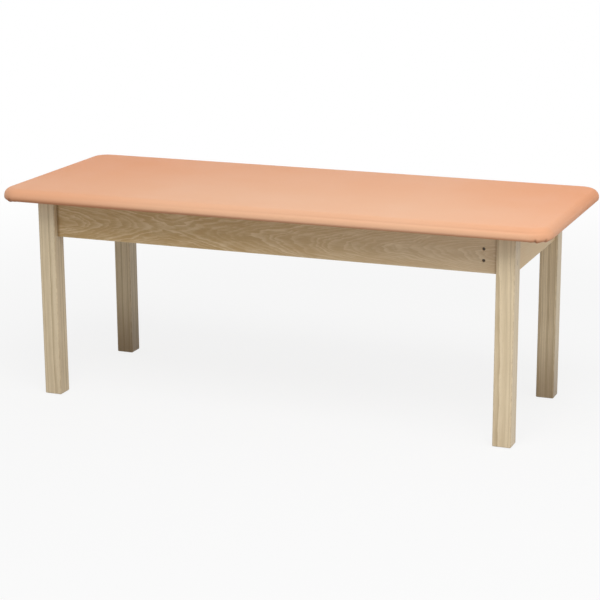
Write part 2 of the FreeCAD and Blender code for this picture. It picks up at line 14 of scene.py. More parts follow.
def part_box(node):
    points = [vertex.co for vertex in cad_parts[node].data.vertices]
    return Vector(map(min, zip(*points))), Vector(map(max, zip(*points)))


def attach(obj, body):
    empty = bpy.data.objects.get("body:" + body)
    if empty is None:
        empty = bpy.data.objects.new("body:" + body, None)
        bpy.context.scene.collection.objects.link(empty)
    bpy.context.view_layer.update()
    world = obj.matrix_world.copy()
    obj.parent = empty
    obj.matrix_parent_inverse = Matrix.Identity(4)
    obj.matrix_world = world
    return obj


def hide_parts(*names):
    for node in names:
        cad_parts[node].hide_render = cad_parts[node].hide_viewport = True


bl_info = {
    "name": "Treatment Table Looks",
    "version": (1, 0, 0),
    "blender": (4, 5, 0),
    "location": "3D View > Sidebar > Table",
    "description": "Padded top, wooden frame, fittings and studio stage of a treatment table",
    "category": "Object",
}

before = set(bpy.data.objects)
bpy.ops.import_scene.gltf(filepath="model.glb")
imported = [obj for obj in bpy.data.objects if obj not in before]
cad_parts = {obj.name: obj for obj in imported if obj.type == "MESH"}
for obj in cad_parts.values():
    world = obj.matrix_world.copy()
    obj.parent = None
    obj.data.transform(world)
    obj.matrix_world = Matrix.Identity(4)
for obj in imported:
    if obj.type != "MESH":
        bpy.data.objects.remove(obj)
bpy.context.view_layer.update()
BODY = "root"
MM = 0.001

# Padded top, as in the part's own sizes
PAD_CORNER = 65 * MM
PAD_TUCK = 45 * MM
PAD_CROWN = 2 * MM
CROWN_REACH = 250 * MM
TUCK_CORNER = 12 * MM
COVER_WALL = 1.2 * MM

# Edge of the cover: the top falls into a roll, and the lower edge turns in
ROLL_RUN = 28 * MM
ROLL_FALL = 26 * MM
UNDER_TURN = 12.5 * MM

# Crease on the roll: it sets in along the table's middle, and fades at these places from its ends
CREASE_RISE = 14 * MM
CREASE_WIDTH = 2 * MM
CREASE_INSET = 10 * MM
CREASE_START = (-0.3, 0.3)
CREASE_END = (-80 * MM, -20 * MM)

# Folds under the corners: how far round the first lies and where each is highest, in folds, how far
# up they reach, how near the cut edge they get lower, where their shade fades out, and its name
FOLD_LEAD = 0.69
FOLD_CREST = 0.78
FOLD_REACH = 16 * MM
CUT_FADE = 6 * MM
FOLD_SHADE_FADE = (13 * MM, 7 * MM)
FOLD_SHADE = "fold_shade"

# Depth of the slack waves on the top
SLACK_DEPTH = 0.25 * MM

# Rings of the cover: insets of the turn-in and of the top in millimetres, turns up the roll in degrees
TUCK_INSETS = (45, 41, 36, 31, 26, 21, 17)
ROLL_TURNS = (0, 6, 12, 17, 21, 24, 27, 30, 33, 36, 39, 43, 48, 54, 61, 69, 77, 84, 90)
TOP_INSETS = (34, 41)
ROUND_RINGS = 10

# Foam: room under the cover and the insets of its base and top in millimetres
FOAM_GAP = 1.6 * MM
FOAM_SLACK = 0.4 * MM
FOAM_BASE_INSETS = (60, 20, 5)
FOAM_TOP_INSET = 45

# Meshes of the pad: length of a segment along the sides, and segments in half a corner
COVER_MESH = (12 * MM, 20)
CLOTH_MESH = (14 * MM, 4)
FOAM_MESH = (24 * MM, 5)

# Cloth that swells the cover
SWELL_FRAMES = 16
CLOTH_RULES = {
    "quality": 7,
    "mass": 0.35,
    "tension_stiffness": 40,
    "compression_stiffness": 40,
    "shear_stiffness": 20,
    "bending_stiffness": 6,
    "air_damping": 4,
    "use_pressure": True,
    "uniform_pressure_force": 0.06,
}

# Painted sheen on the cover: from where to where it grows weaker to the rear, to the left and to the
# right, and the share of the deep colour that it keeps there
REAR_FADE = (-0.3, 0.3)
LEFT_FADE = (0.05, 0.95)
RIGHT_FADE = (0.4, 0.95)
REAR_DEEP = 0.5
LEFT_DEEP = 0.46
RIGHT_DEEP = 0.43

# Painted colours of the cover's edge: the roll's painted shade and the top of the painted highlight band
# over the roll's start, the foot of that band over the pad's bottom, and the painted shade where it turns
# in, less to the right, more to the left
ROLL_SHADE_RISE = (10 * MM, 17 * MM)
ROLL_SHADE_FALL = (22 * MM, ROLL_FALL)
HIGHLIGHT_FALL = (8 * MM, 13 * MM)
HIGHLIGHT_RISE = (6 * MM, 11 * MM)
TURNED_REACH = 13 * MM
TURNED_LESS = 4 * MM
TURNED_MORE = 8 * MM

# Wood: reach of the painted shade up the legs from their feet and down from their tops under the pad, the
# share of paler wood that the long aprons gain, the painted shade at the joints, and the width of worn
# edges
FOOT_SHADE_REACH = 230 * MM
HEAD_SHADE_REACH = 130 * MM
FADE_SHARE = 0.42
JOINT_SHADE = (-12 * MM, -1 * MM)
ARRIS_WIDTH = 5 * MM

# Staples under the pad
STAPLE_INSET = 28 * MM
STAPLE_PITCH = 60 * MM
STAPLE_SEED = 4

# Stage: half the floor's width, and where its white grows from nearly to fully white
FLOOR_REACH = 40.0
WHITE_REACH = (1.2, 4.0)
NEAR_WHITE = 0.84

LEGS = ("leg_front_left", "leg_front_right", "leg_rear_left", "leg_rear_right")
BEARERS = ("left_cross_bearer", "centre_cross_bearer", "right_cross_bearer")
GLIDES = ("glide_front_left", "glide_front_right", "glide_rear_left", "glide_rear_right")
ZINC_PIECES = ("connector_bolts", "bolt_washers", "deck_brackets", "bracket_screws", "glide_nails")


def over(base, levels):
    """Levels or places counted from a base."""
    return [base + level for level in levels]


def display_colour(red, green, blue):
    """Linear colour of a colour given as it shows on a display, from 0 to 255."""
    shares = []
    for level in (red, green, blue):
        share = level / 255
        low = share / 12.92
        high = ((share + 0.055) / 1.055) ** 2.4
        shares.append(low if share <= 0.04045 else high)
    return tuple(shares)


def colour_setting(name, description, shown):
    """Colour property whose default is given as it shows on a display."""
    return bpy.props.FloatVectorProperty(
        name=name,
        description=description,
        subtype="COLOR",
        size=3,
        min=0.0,
        max=1.0,
        default=display_colour(*shown),
    )


def number_setting(name, description, default, **kind):
    """Number property, not below zero, with a unit or subtype where one fits."""
    return bpy.props.FloatProperty(name=name, description=description, default=default, min=0.0, **kind)


def length_setting(name, description, default):
    """Length property in metres."""
    return number_setting(name, description, default, precision=5, unit="LENGTH")


class PadSettings(bpy.types.PropertyGroup):
    """Sizes and colours of the padded top."""

    swell: length_setting("Swell", "Furthest that the foam pushes the cover out", 3 * MM)
    crease: length_setting("Crease", "Depth of the crease along the roll", 0.8 * MM)
    pleat: length_setting("Pleat", "Height of the folds gathered under each corner", 4.5 * MM)
    pleats: bpy.props.IntProperty(
        name="Pleats", description="Folds gathered under each corner", default=3, min=1, max=9
    )
    grain: length_setting("Grain", "Size of the pebbles in the vinyl's grain", 1.8 * MM)
    # Vinyl is the cover's colour where the painted sheen is strongest, deep vinyl its colour where the
    # sheen is least
    vinyl: colour_setting("Vinyl", "Colour of the cover where it is worn palest", (230, 181, 147))
    vinyl_deep: colour_setting("Deep vinyl", "Colour of the cover where least worn", (228, 159, 117))
    # Painted highlight: the paler band along the cover's edge
    vinyl_highlight: colour_setting("Rubbed vinyl", "Colour of the cover along its edge", (246, 194, 156))
    # Painted shade: low on the edge and below, in the crease and on the roll
    vinyl_painted_shade: colour_setting("Turned-in vinyl", "Colour low on the edge and below", (168, 108, 70))
    vinyl_folded: colour_setting("Folded vinyl", "Colour deep in the corners' folds", (120, 68, 40))
    foam: colour_setting("Foam", "Colour of the foam", (238, 226, 190))


class TimberSettings(bpy.types.PropertyGroup):
    """Colours and figure of the frame's wood and of the deck board."""

    leg_field: colour_setting("Leg field", "Main colour of the legs", (224, 205, 172))
    leg_line: colour_setting("Leg lines", "Growth lines of the legs", (172, 150, 114))
    apron_field: colour_setting("Apron field", "Main colour of the long aprons", (186, 153, 102))
    apron_line: colour_setting("Apron lines", "Growth lines of the long aprons", (231, 206, 168))
    apron_pale: colour_setting("Pale apron wood", "Colour that the long aprons fade to", (224, 206, 182))
    end_field: colour_setting("End apron field", "Main colour of the end aprons", (220, 190, 142))
    end_line: colour_setting("End apron lines", "Growth lines of the end aprons", (227, 204, 164))
    # The legs' edges turn darker
    arris_dark: colour_setting("Handled edges", "Colour that the legs' edges take", (150, 128, 94))
    arris_pale: colour_setting("Rubbed edges", "Colour that the aprons' edges take", (226, 206, 164))
    pores: colour_setting("Pores", "Open pores of the wood", (128, 100, 66))
    ply_field: colour_setting("Plywood", "Face of the deck board", (206, 180, 140))
    ply_line: colour_setting("Plywood lines", "Grain lines of the deck board", (176, 142, 98))
    leg_rings: length_setting("Leg rings", "Width of a growth ring in the legs", 7 * MM)
    apron_rings: length_setting("Apron rings", "Width of a growth ring in the aprons", 3 * MM)


class FittingSettings(bpy.types.PropertyGroup):
    """Sizes and colours of staples, steel fittings and glides."""

    staple_crown: length_setting("Staple crown", "Width of a staple", 10 * MM)
    staple_leg: length_setting("Staple leg", "Length of a staple's legs", 8 * MM)
    staple_wire: length_setting("Staple wire", "Thickness of a staple's wire", 0.8 * MM)
    staple_stray: number_setting(
        "Staple stray", "Furthest that a staple is turned off its row", math.radians(7), subtype="ANGLE"
    )
    zinc: colour_setting("Zinc", "Colour of plated steel", (205, 205, 200))
    oxide: colour_setting("Dark steel", "Colour of the barrel nuts", (106, 96, 82))
    glide: colour_setting("Glides", "Colour of the plastic glides", (120, 100, 78))


class StageSettings(bpy.types.PropertyGroup):
    """Camera, lamps and floor."""

    camera_place: bpy.props.FloatVectorProperty(
        name="Camera place",
        description="Where the camera stands",
        default=(2.12648, -5.36892, 1.82976),
        subtype="TRANSLATION",
        unit="LENGTH",
    )
    camera_turn: bpy.props.FloatVectorProperty(
        name="Camera turn",
        description="Way round to the right of the front, tilt down and roll",
        default=(math.radians(21.6108), math.radians(14.6727), math.radians(-0.3193)),
        subtype="EULER",
        unit="ROTATION",
    )
    lens: number_setting("Lens", "Focal length in millimetres", 110.828)
    key_power: number_setting("Key lamp", "Power of the large soft lamp", 172.0, unit="POWER")
    side_power: number_setting("Side lamp", "Power of the soft lamp at the right", 7.0, unit="POWER")
    sky: number_setting("Sky", "Strength of the even light from all round", 0.46)
    floor: colour_setting("Floor", "Colour of the floor", (214, 214, 214))


class Wiring:
    """Adds nodes to one tree and joins them."""

    def __init__(self, tree):
        self.tree = tree

    def node(self, kind, inputs=None, **settings):
        """New node with its settings, its inputs fed by name or number."""
        made = self.tree.nodes.new(kind)
        for name, value in settings.items():
            setattr(made, name, value)
        for name, value in (inputs or {}).items():
            self.feed(made.inputs[name], value)
        return made

    def feed(self, socket, value):
        """Links a socket to an input, or sets the input's own value; a colour gets full alpha."""
        if isinstance(value, bpy.types.NodeSocket):
            self.tree.links.new(value, socket)
        elif socket.type == "RGBA":
            socket.default_value = (*tuple(value)[:3], 1.0)
        else:
            socket.default_value = value

    def first(self, kind, inputs, **settings):
        """First output of a new node."""
        return self.node(kind, inputs, **settings).outputs[0]

    def math(self, operation, *values):
        """Result of a sum on numbers."""
        return self.first("ShaderNodeMath", dict(enumerate(values)), operation=operation)

    def vector(self, operation, *values):
        """Result of a sum on vectors."""
        return self.first("ShaderNodeVectorMath", dict(enumerate(values)), operation=operation)

    def plus(self, first, second):
        """Sum of two numbers."""
        return self.math("ADD", first, second)

    def less(self, first, second):
        """First number less the second."""
        return self.math("SUBTRACT", first, second)

    def times(self, first, second):
        """Product of two numbers."""
        return self.math("MULTIPLY", first, second)

    def weighed(self, value, weight, base):
        """Value times its weight, added to a base."""
        return self.math("MULTIPLY_ADD", value, weight, base)

    def scaled(self, vector, amounts):
        """Vector with each part multiplied by its own amount."""
        return self.vector("MULTIPLY", vector, amounts)

    def parts(self, vector):
        """X, Y and Z of a vector."""
        return self.node("ShaderNodeSeparateXYZ", {"Vector": vector}).outputs

    def joined(self, x, y, z):
        """Vector of three numbers."""
        return self.first("ShaderNodeCombineXYZ", {"X": x, "Y": y, "Z": z})

    def eased(self, value, low, high):
        """Smooth step from 0 at low to 1 at high."""
        limits = {"Value": value, "From Min": low, "From Max": high}
        return self.first("ShaderNodeMapRange", limits, interpolation_type="SMOOTHSTEP")

    def fading(self, value, low, high):
        """Smooth step from 1 at low to 0 at high."""
        return self.less(1.0, self.eased(value, low, high))

    def between(self, value, rise, fall):
        """Smooth step up over the rise and down again over the fall."""
        return self.less(self.eased(value, *rise), self.eased(value, *fall))

    def mixed(self, first, second, share, most=None):
        """Colour between two colours, by a share that may be scaled to a most."""
        mix_share = share if most is None else self.times(share, most)
        inputs = {0: mix_share, 6: first, 7: second}
        return self.node("ShaderNodeMix", inputs, data_type="RGBA").outputs[2]

    def cloudy(self, vector, scale=1.0, detail=2.0, roughness=0.5, stretch=None, output="Fac"):
        """Noise, its vector stretched first where the pattern runs one way."""
        place = self.scaled(vector, stretch) if stretch else vector
        inputs = {"Vector": place, "Scale": scale, "Detail": detail, "Roughness": roughness}
        return self.node("ShaderNodeTexNoise", inputs).outputs[output]


def new_tree(kind, name, inputs, outputs):
    """Node tree with sockets listed by kind: its wiring, its entry's outputs and its exit's inputs."""
    tree = bpy.data.node_groups.new(name, kind)
    for way, kinds in (("INPUT", inputs), ("OUTPUT", outputs)):
        for socket, labels in kinds.items():
            for label in labels:
                tree.interface.new_socket(label, in_out=way, socket_type=f"NodeSocket{socket}")
    net = Wiring(tree)
    return net, net.node("NodeGroupInput").outputs, net.node("NodeGroupOutput").inputs


def place_group(net, make, inputs):
    """Outputs of a group node with its inputs fed. The group is made when it is first placed."""
    name = make.__name__
    tree = bpy.data.node_groups.get(name) or make(name)
    return net.node("ShaderNodeGroup", inputs, node_tree=tree).outputs


def board_grain(name):
    """Solid wood: growth rings round a heart line that leans, wanders and carries fibres and pores.

    Place is in millimetres: X along the grain, Y and Z across it, with the heart line at zero.
    """
    marks = ("Ring width", "Lean", "Turn length", "Wander", "Line share", "Mottle")
    net, given, put = new_tree(
        "ShaderNodeTree",
        name,
        {"Vector": ("Place",), "Float": marks, "Color": ("Field", "Line", "Pores")},
        {"Color": ("Colour",), "Float": ("Roughness", "Height")},
    )
    place = given["Place"]
    drift = net.cloudy(place, detail=5.0, roughness=0.58, stretch=(0.0035, 0.014, 0.014), output="Color")
    drift = net.vector("SUBTRACT", drift, (0.5, 0.5, 0.5))
    wander = net.joined(given["Wander"], given["Wander"], given["Wander"])
    along, across, deep = net.parts(net.vector("MULTIPLY_ADD", drift, wander, place))
    turn = net.times(given["Turn length"], given["Turn length"])
    reach = net.math("SQRT", net.weighed(along, along, turn))
    depth = net.less(deep, net.times(reach, given["Lean"]))
    radius = net.math("SQRT", net.weighed(depth, depth, net.times(across, across)))
    uneven = net.node("ShaderNodeTexNoise", {"W": radius, "Scale": 0.08}, noise_dimensions="1D")
    count = net.math("DIVIDE", radius, given["Ring width"])
    count = net.weighed(uneven.outputs["Fac"], 2.4, count)
    share = net.math("FRACT", count)
    rising = net.eased(share, 0.2, 0.85)
    line = net.less(rising, net.eased(share, 0.86, 1.0))
    year = net.node("ShaderNodeTexWhiteNoise", {"W": net.math("FLOOR", count)}, noise_dimensions="1D")
    strength = net.weighed(year.outputs["Value"], 0.65, 0.35)
    tone = net.times(net.times(line, strength), given["Line share"])
    fibre = net.cloudy(place, detail=4.0, roughness=0.65, stretch=(0.012, 0.55, 0.55))
    broad = net.cloudy(place, stretch=(0.0022, 0.03, 0.03))
    blotch = net.cloudy(place, detail=3.0, roughness=0.6, stretch=(0.014, 0.05, 0.05))
    for cloud, middle, weight in ((fibre, 0.5, 0.75), (broad, 0.5, 0.6), (blotch, 0.42, given["Mottle"])):
        tone = net.weighed(net.less(cloud, middle), weight, tone)
    tone = net.first("ShaderNodeClamp", {"Value": tone})
    pore = net.cloudy(place, detail=1.0, stretch=(0.09, 2.4, 2.4))
    pore = net.times(net.eased(pore, 0.62, 0.72), net.less(1.0, rising))
    colour = net.mixed(given["Field"], given["Line"], tone)
    net.feed(put["Colour"], net.mixed(colour, given["Pores"], pore, 0.45))
    net.feed(put["Roughness"], net.weighed(fibre, 0.16, 0.36))
    net.feed(put["Height"], net.less(net.times(fibre, 0.5), pore))
    return net.tree


def worn_arris(name):
    """Mask along the edges of a squared board, broken up as handling wears them."""
    inputs = {"Vector": ("Vector", "Centre", "Half size"), "Float": ("Width",)}
    net, given, put = new_tree("ShaderNodeTree", name, inputs, {"Float": ("Mask",)})
    offset = net.vector("ABSOLUTE", net.vector("SUBTRACT", given["Vector"], given["Centre"]))
    x, y, z = net.parts(net.vector("SUBTRACT", given["Half size"], offset))
    least = net.math("MINIMUM", x, net.math("MINIMUM", y, z))
    most = net.math("MAXIMUM", x, net.math("MAXIMUM", y, z))
    middle = net.less(net.plus(x, net.plus(y, z)), net.plus(least, most))
    near = net.fading(middle, 0.0, given["Width"])
    patches = net.cloudy(given["Vector"], scale=55.0, detail=3.0)
    net.feed(put["Mask"], net.times(near, net.eased(patches, 0.3, 0.62)))
    return net.tree


def handling_marks(name):
    """Smudges and fine rub marks that a wiped and handled surface carries."""
    inputs = {"Vector": ("Vector",), "Float": ("Smudge size",)}
    net, given, put = new_tree("ShaderNodeTree", name, inputs, {"Float": ("Smudges", "Rubs")})
    scale = net.math("DIVIDE", 1.0, given["Smudge size"])
    smudge = net.cloudy(given["Vector"], scale, detail=3.0)
    rub = net.cloudy(given["Vector"], net.times(scale, 14.0), detail=4.0, stretch=(0.25, 1.0, 1.0))
    net.feed(put["Smudges"], net.eased(smudge, 0.3, 0.7))
    net.feed(put["Rubs"], net.eased(rub, 0.45, 0.75))
    return net.tree


def handled(net, vector, size):
    """Smudges and rubs on a surface, with the size of a smudge."""
    return place_group(net, handling_marks, {"Vector": vector, "Smudge size": size})


def new_material(name):
    """Empty material, its wiring and its Object coordinates."""
    material = bpy.data.materials.new(name)
    material.use_nodes = True
    material.node_tree.nodes.clear()
    net = Wiring(material.node_tree)
    return material, net, net.node("ShaderNodeTexCoord").outputs["Object"]


def finish_surface(net, colour, rough, height, bump, depth, also=None):
    """Principled surface with a bump of a strength and depth, and other sockets set by name."""
    raised = net.first("ShaderNodeBump", {"Height": height, "Strength": bump, "Distance": depth})
    sockets = {"Base Color": colour, "Roughness": rough, "Normal": raised, **(also or {})}
    net.node("ShaderNodeOutputMaterial", {"Surface": net.first("ShaderNodeBsdfPrincipled", sockets)})


def figure(rings, lean, turn, wander, lines, mottle=0.5):
    """Figure of a board: ring width and length of its turn in millimetres, and how it is marked."""
    return {
        "Ring width": rings,
        "Lean": lean,
        "Turn length": turn,
        "Wander": wander,
        "Line share": lines,
        "Mottle": mottle,
    }


def grained(net, vector, grain, heart, marks, colours):
    """Wood grain along X, Y or Z. Heart is the ring centre, in millimetres with the grain first."""
    x, y, z = net.parts(net.scaled(vector, (1 / MM, 1 / MM, 1 / MM)))
    order = {"X": (x, z, y), "Y": (y, z, x), "Z": (z, x, y)}[grain]
    place = net.vector("SUBTRACT", net.joined(*order), heart)
    tones = dict(zip(("Field", "Line", "Pores"), colours))
    return place_group(net, board_grain, {"Place": place, **marks, **tones})


def board_material(name, node, grain, heart, marks, colours, painted_shades=(0.0, 0.0), fade=None):
    """Wood of one board, its heart measured from the board's middle.

    Colours are those of the field, the growth lines, the pores and the edges. Painted shades are the
    shares of the pores' colour painted as shade at the foot of an upright board, and as the pad's
    shadow at its head. Fade is the colour that a level board turns to along its grain.
    """
    low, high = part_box(node)
    centre = (low + high) / 2
    material, net, vector = new_material(name)
    shifted = net.vector("SUBTRACT", vector, centre)
    wood = grained(net, shifted, grain, heart, marks, colours)
    corners = {"Vector": vector, "Centre": centre, "Half size": (high - low) / 2, "Width": ARRIS_WIDTH}
    wear = place_group(net, worn_arris, corners)
    pores, edges = colours[2:]
    colour = net.mixed(wood["Colour"], edges, wear["Mask"], 0.45)
    if grain == "Z":
        # Painted shade: darker towards the foot, and towards the head where the pad's shadow falls
        level = net.parts(vector)["Z"]
        foot = net.fading(level, low.z, low.z + FOOT_SHADE_REACH)
        head = net.eased(level, high.z - HEAD_SHADE_REACH, high.z)
        for part, painted_share in zip((foot, head), painted_shades):
            colour = net.mixed(colour, pores, part, painted_share)
    else:
        axis = "XYZ".index(grain)
        half_run = (high - low)[axis] / 2
        along = net.parts(shifted)[axis]
        if fade is not None:
            faded = net.eased(along, -0.5 * half_run, 1.3 * half_run)
            colour = net.mixed(colour, fade, faded, FADE_SHARE)
        # Painted shade at the board's ends, where it meets the legs
        joint = net.eased(net.math("ABSOLUTE", along), *over(half_run, JOINT_SHADE))
        colour = net.mixed(colour, pores, joint, 0.7)
    rough = net.weighed(handled(net, vector, size=0.16)["Smudges"], 0.08, wood["Roughness"])
    lacquer = {"Specular IOR Level": 0.4, "Coat Weight": 0.12, "Coat Roughness": 0.3}
    finish_surface(net, colour, rough, wood["Height"], bump=0.25, depth=0.25 * MM, also=lacquer)
    return material


def vinyl_material(pad):
    """Upholstery vinyl: soft pebble grain, paler towards the front middle under a painted sheen, with
    painted shade and a painted highlight along its edge.
    """
    low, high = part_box("vinyl_cover")
    material, net, vector = new_material("salmon_vinyl")
    grain = net.scaled(vector, (1 / pad.grain, 1 / pad.grain, 1 / pad.grain))
    bent = net.cloudy(grain, detail=1.0, stretch=(0.6, 0.6, 0.6), output="Color")
    grain = net.vector("ADD", grain, net.scaled(bent, (0.9, 0.9, 0.9)))
    cells = {"Vector": grain, "Scale": 1.0}
    pebbles = net.first("ShaderNodeTexVoronoi", cells, feature="DISTANCE_TO_EDGE")
    raised = net.eased(pebbles, 0.0, 0.22)
    smudges = handled(net, vector, size=0.3)["Smudges"]
    x, y, z = net.parts(vector)
    to_left = net.eased(net.times(x, -1.0), *LEFT_FADE)
    to_right = net.eased(x, *CREASE_START)
    at_end = net.eased(net.math("ABSOLUTE", x), *over(high.x, CREASE_END))

    # Painted sheen: less of it to the rear and at both ends, where the colour is deeper; deeper between
    # the pebbles too
    rear = net.times(net.eased(y, *REAR_FADE), REAR_DEEP)
    left = net.times(to_left, LEFT_DEEP)
    right = net.times(net.eased(x, *RIGHT_FADE), RIGHT_DEEP)
    less_sheen = net.plus(rear, net.math("MAXIMUM", left, right))
    deep = net.plus(less_sheen, net.times(net.less(1.0, raised), 0.2))
    deep = net.weighed(smudges, 0.07, deep)
    colour = net.mixed(pad.vinyl, pad.vinyl_deep, deep)

    # Painted shade in the crease and on the roll above it, on the right half
    roll_start = high.z - PAD_CROWN - ROLL_FALL
    apart = net.math("ABSOLUTE", net.less(z, roll_start + CREASE_RISE))
    line = net.times(net.fading(apart, 0.0, 1.2 * CREASE_WIDTH), net.weighed(at_end, -0.07, 0.08))
    colour = net.mixed(colour, pad.vinyl_painted_shade, line, to_right)
    roll = net.between(z, over(roll_start, ROLL_SHADE_RISE), over(roll_start, ROLL_SHADE_FALL))
    colour = net.mixed(colour, pad.vinyl_painted_shade, net.times(roll, to_right), 0.07)

    # Painted highlight along the edge, less at the ends and to the left
    rubbed = net.between(z, over(low.z, HIGHLIGHT_RISE), over(roll_start, HIGHLIGHT_FALL))
    rubbed = net.times(rubbed, net.weighed(at_end, -0.4, 0.5))
    colour = net.mixed(colour, pad.vinyl_highlight, rubbed, net.weighed(to_left, -0.9, 1.0))

    # Painted shade where it turns in, reaching further up to the left, and deep in the folds
    reach = net.weighed(to_right, -TURNED_LESS, low.z + TURNED_REACH)
    reach = net.weighed(to_left, TURNED_MORE, reach)
    colour = net.mixed(colour, pad.vinyl_painted_shade, net.fading(z, low.z, reach), 0.8)
    folds = net.node("ShaderNodeAttribute", attribute_name=FOLD_SHADE).outputs["Fac"]
    colour = net.mixed(colour, pad.vinyl_folded, folds, 0.75)
    rough = net.weighed(raised, -0.05, net.weighed(smudges, 0.08, 0.5))
    sheen = {"Specular IOR Level": 0.14}
    finish_surface(net, colour, rough, raised, bump=0.6, depth=0.2 * MM, also=sheen)
    return material


def foam_material(pad):
    """Open-cell foam: small round cells and a cut face."""
    material, net, vector = new_material("cream_foam")
    cells = net.first("ShaderNodeTexVoronoi", {"Vector": vector, "Scale": 700.0})
    wall = net.eased(cells, 0.1, 0.6)
    share = net.weighed(net.cloudy(vector, scale=40.0, detail=3.0), 0.2, net.times(wall, 0.4))
    colour = net.mixed(pad.foam, (0.62, 0.53, 0.33), share)
    finish_surface(net, colour, net.weighed(wall, 0.1, 0.86), wall, bump=0.4, depth=0.4 * MM)
    return material


def plywood_material(timber):
    """Deck board: rotary-cut face and thin plies that show on the cut edges."""
    low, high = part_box("deck_board")
    material, net, vector = new_material("deck_plywood")
    colours = (timber.ply_field, timber.ply_line, timber.pores)
    marks = figure(rings=3.6, lean=0.12, turn=260.0, wander=46.0, lines=0.75)
    wood = grained(net, vector, "X", (120.0, 640.0, -70.0), marks, colours)
    ply_step = (high.z - low.z) / 4.5
    ply = net.math("DIVIDE", net.less(net.parts(vector)["Z"], low.z), ply_step)
    stripe = net.eased(net.math("PINGPONG", ply, 0.5), 0.22, 0.3)
    colour = net.mixed(wood["Colour"], timber.ply_line, stripe, 0.5)
    rough = net.plus(wood["Roughness"], 0.18)
    finish_surface(net, colour, rough, wood["Height"], bump=0.35, depth=0.3 * MM)
    return material


def zinc_material(fittings):
    """Plated steel with a faint cloudy spangle."""
    material, net, vector = new_material("zinc_plate")
    marks = handled(net, vector, size=0.02)
    spangle = net.node("ShaderNodeTexVoronoi", {"Vector": vector, "Scale": 420.0})
    cell = net.parts(spangle.outputs["Color"])["X"]
    share = net.weighed(cell, 0.25, net.times(marks["Smudges"], 0.3))
    colour = net.mixed(fittings.zinc, (0.42, 0.42, 0.39), share)
    rough = net.weighed(marks["Rubs"], 0.16, 0.28)
    finish_surface(net, colour, rough, marks["Rubs"], bump=0.08, depth=0.05 * MM, also={"Metallic": 1.0})
    return material


def oxide_material(fittings):
    """Dark steel of the barrel nuts, rubbed a little greyer in places."""
    material, net, vector = new_material("dark_oxide_steel")
    marks = handled(net, vector, size=0.006)
    colour = net.mixed(fittings.oxide, (0.13, 0.12, 0.11), marks["Rubs"], 0.4)
    rough = net.weighed(marks["Smudges"], 0.2, 0.42)
    finish_surface(net, colour, rough, marks["Rubs"], bump=0.1, depth=0.05 * MM, also={"Metallic": 0.6})
    return material


def glide_material(fittings):
    """Moulded plastic of the glides: fine matt texture, scuffed where it meets the floor."""
    material, net, vector = new_material("brown_glide_plastic")
    texture = net.cloudy(vector, scale=2600.0)
    scuffed = net.fading(net.parts(vector)["Z"], 0.0, 1.2 * MM)
    worn = net.plus(handled(net, vector, size=0.012)["Rubs"], scuffed)
    colour = net.mixed(fittings.glide, (0.4, 0.34, 0.27), worn, 0.3)
    finish_surface(net, colour, net.weighed(texture, 0.2, 0.42), texture, bump=0.15, depth=0.08 * MM)
    return material


def paint(node, material):
    """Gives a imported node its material."""
    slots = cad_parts[node].data.materials
    slots.clear()
    slots.append(material)


def add_object(name, data):
    """New object at the origin of the scene."""
    made = bpy.data.objects.new(name, data)
    bpy.context.scene.collection.objects.link(made)
    return made


def add_piece(name, mesh, node):
    """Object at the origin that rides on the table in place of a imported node."""
    piece = add_object(name, mesh)
    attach(piece, BODY)
    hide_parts(node)
    return piece


def side_points(half_x, half_y, corner, straights, arcs):
    """Front, right, back and left side of a rounded rectangle, each from arc middle to arc middle.

    Straights are the segments of the straight runs along X and Y; arcs are those of half an arc.
    Front and back run along +X, right and left along +Y.
    """
    inner = np.array([half_x - corner, half_y - corner])
    eighth = np.linspace(0.0, 1.0, arcs + 1) * math.pi / 4
    rise = np.stack([np.sin(eighth), 1 - np.cos(eighth)], 1) * corner

    def run(half_run, other_half, count):
        straight = np.linspace(-half_run, half_run, count + 1)
        middle = np.stack([straight, np.full(count + 1, -other_half)], 1)
        end = np.stack([half_run + rise[1:, 0], -other_half + rise[1:, 1]], 1)
        start = end[::-1] * (-1, 1)
        return np.concatenate([start, middle, end])

    front = run(inner[0], half_y, straights[0])
    side = run(inner[1], half_x, straights[1])
    right = np.stack([-side[:, 1], side[:, 0]], 1)
    return front, right, front * (1, -1), right * (-1, 1)


def ring_of(sides):
    """Four sides joined to a ring, anticlockwise from the front left."""
    front, right, back, left = sides
    return np.concatenate([front[:-1], right[:-1], back[:0:-1], left[:0:-1]])


def filled_grid(sides):
    """Points of a grid stretched between the four sides, one row for each place along the left."""
    front, right, back, left = sides
    share_x = ((front[:, 0] - front[0, 0]) / (front[-1, 0] - front[0, 0]))[None, :, None]
    share_y = ((left[:, 1] - left[0, 1]) / (left[-1, 1] - left[0, 1]))[:, None, None]
    across = front[None] * (1 - share_y) + back[None] * share_y
    along = left[:, None] * (1 - share_x) + right[:, None] * share_x
    low = front[0] * (1 - share_x) + front[-1] * share_x
    high = back[0] * (1 - share_x) + back[-1] * share_x
    return across + along - low * (1 - share_y) - high * share_y


def step_up(value, start, end):
    """Straight step from 0 at the start to 1 at the end."""
    return np.clip((value - start) / (end - start), 0.0, 1.0)


def corner_offset(points, half_x, half_y, corner):
    """Offset of points from the middle of the nearest corner's arc, along X and Y."""
    return np.abs(points[:, :2]) - np.array([half_x - corner, half_y - corner])


def edge_distance(points, half_x, half_y, corner):
    """How far points on the pad lie inside its outline."""
    offset = corner_offset(points, half_x, half_y, corner)
    outside = np.linalg.norm(np.maximum(offset, 0.0), axis=1)
    inside = np.minimum(offset.max(axis=1), 0.0)
    return corner - outside - inside


def crown_level(distance):
    """Height of the pad's crown over its rolled edge, by the distance from the outline."""
    return PAD_CROWN * (1 - (1 - step_up(distance, ROLL_RUN, CROWN_REACH)) ** 2)


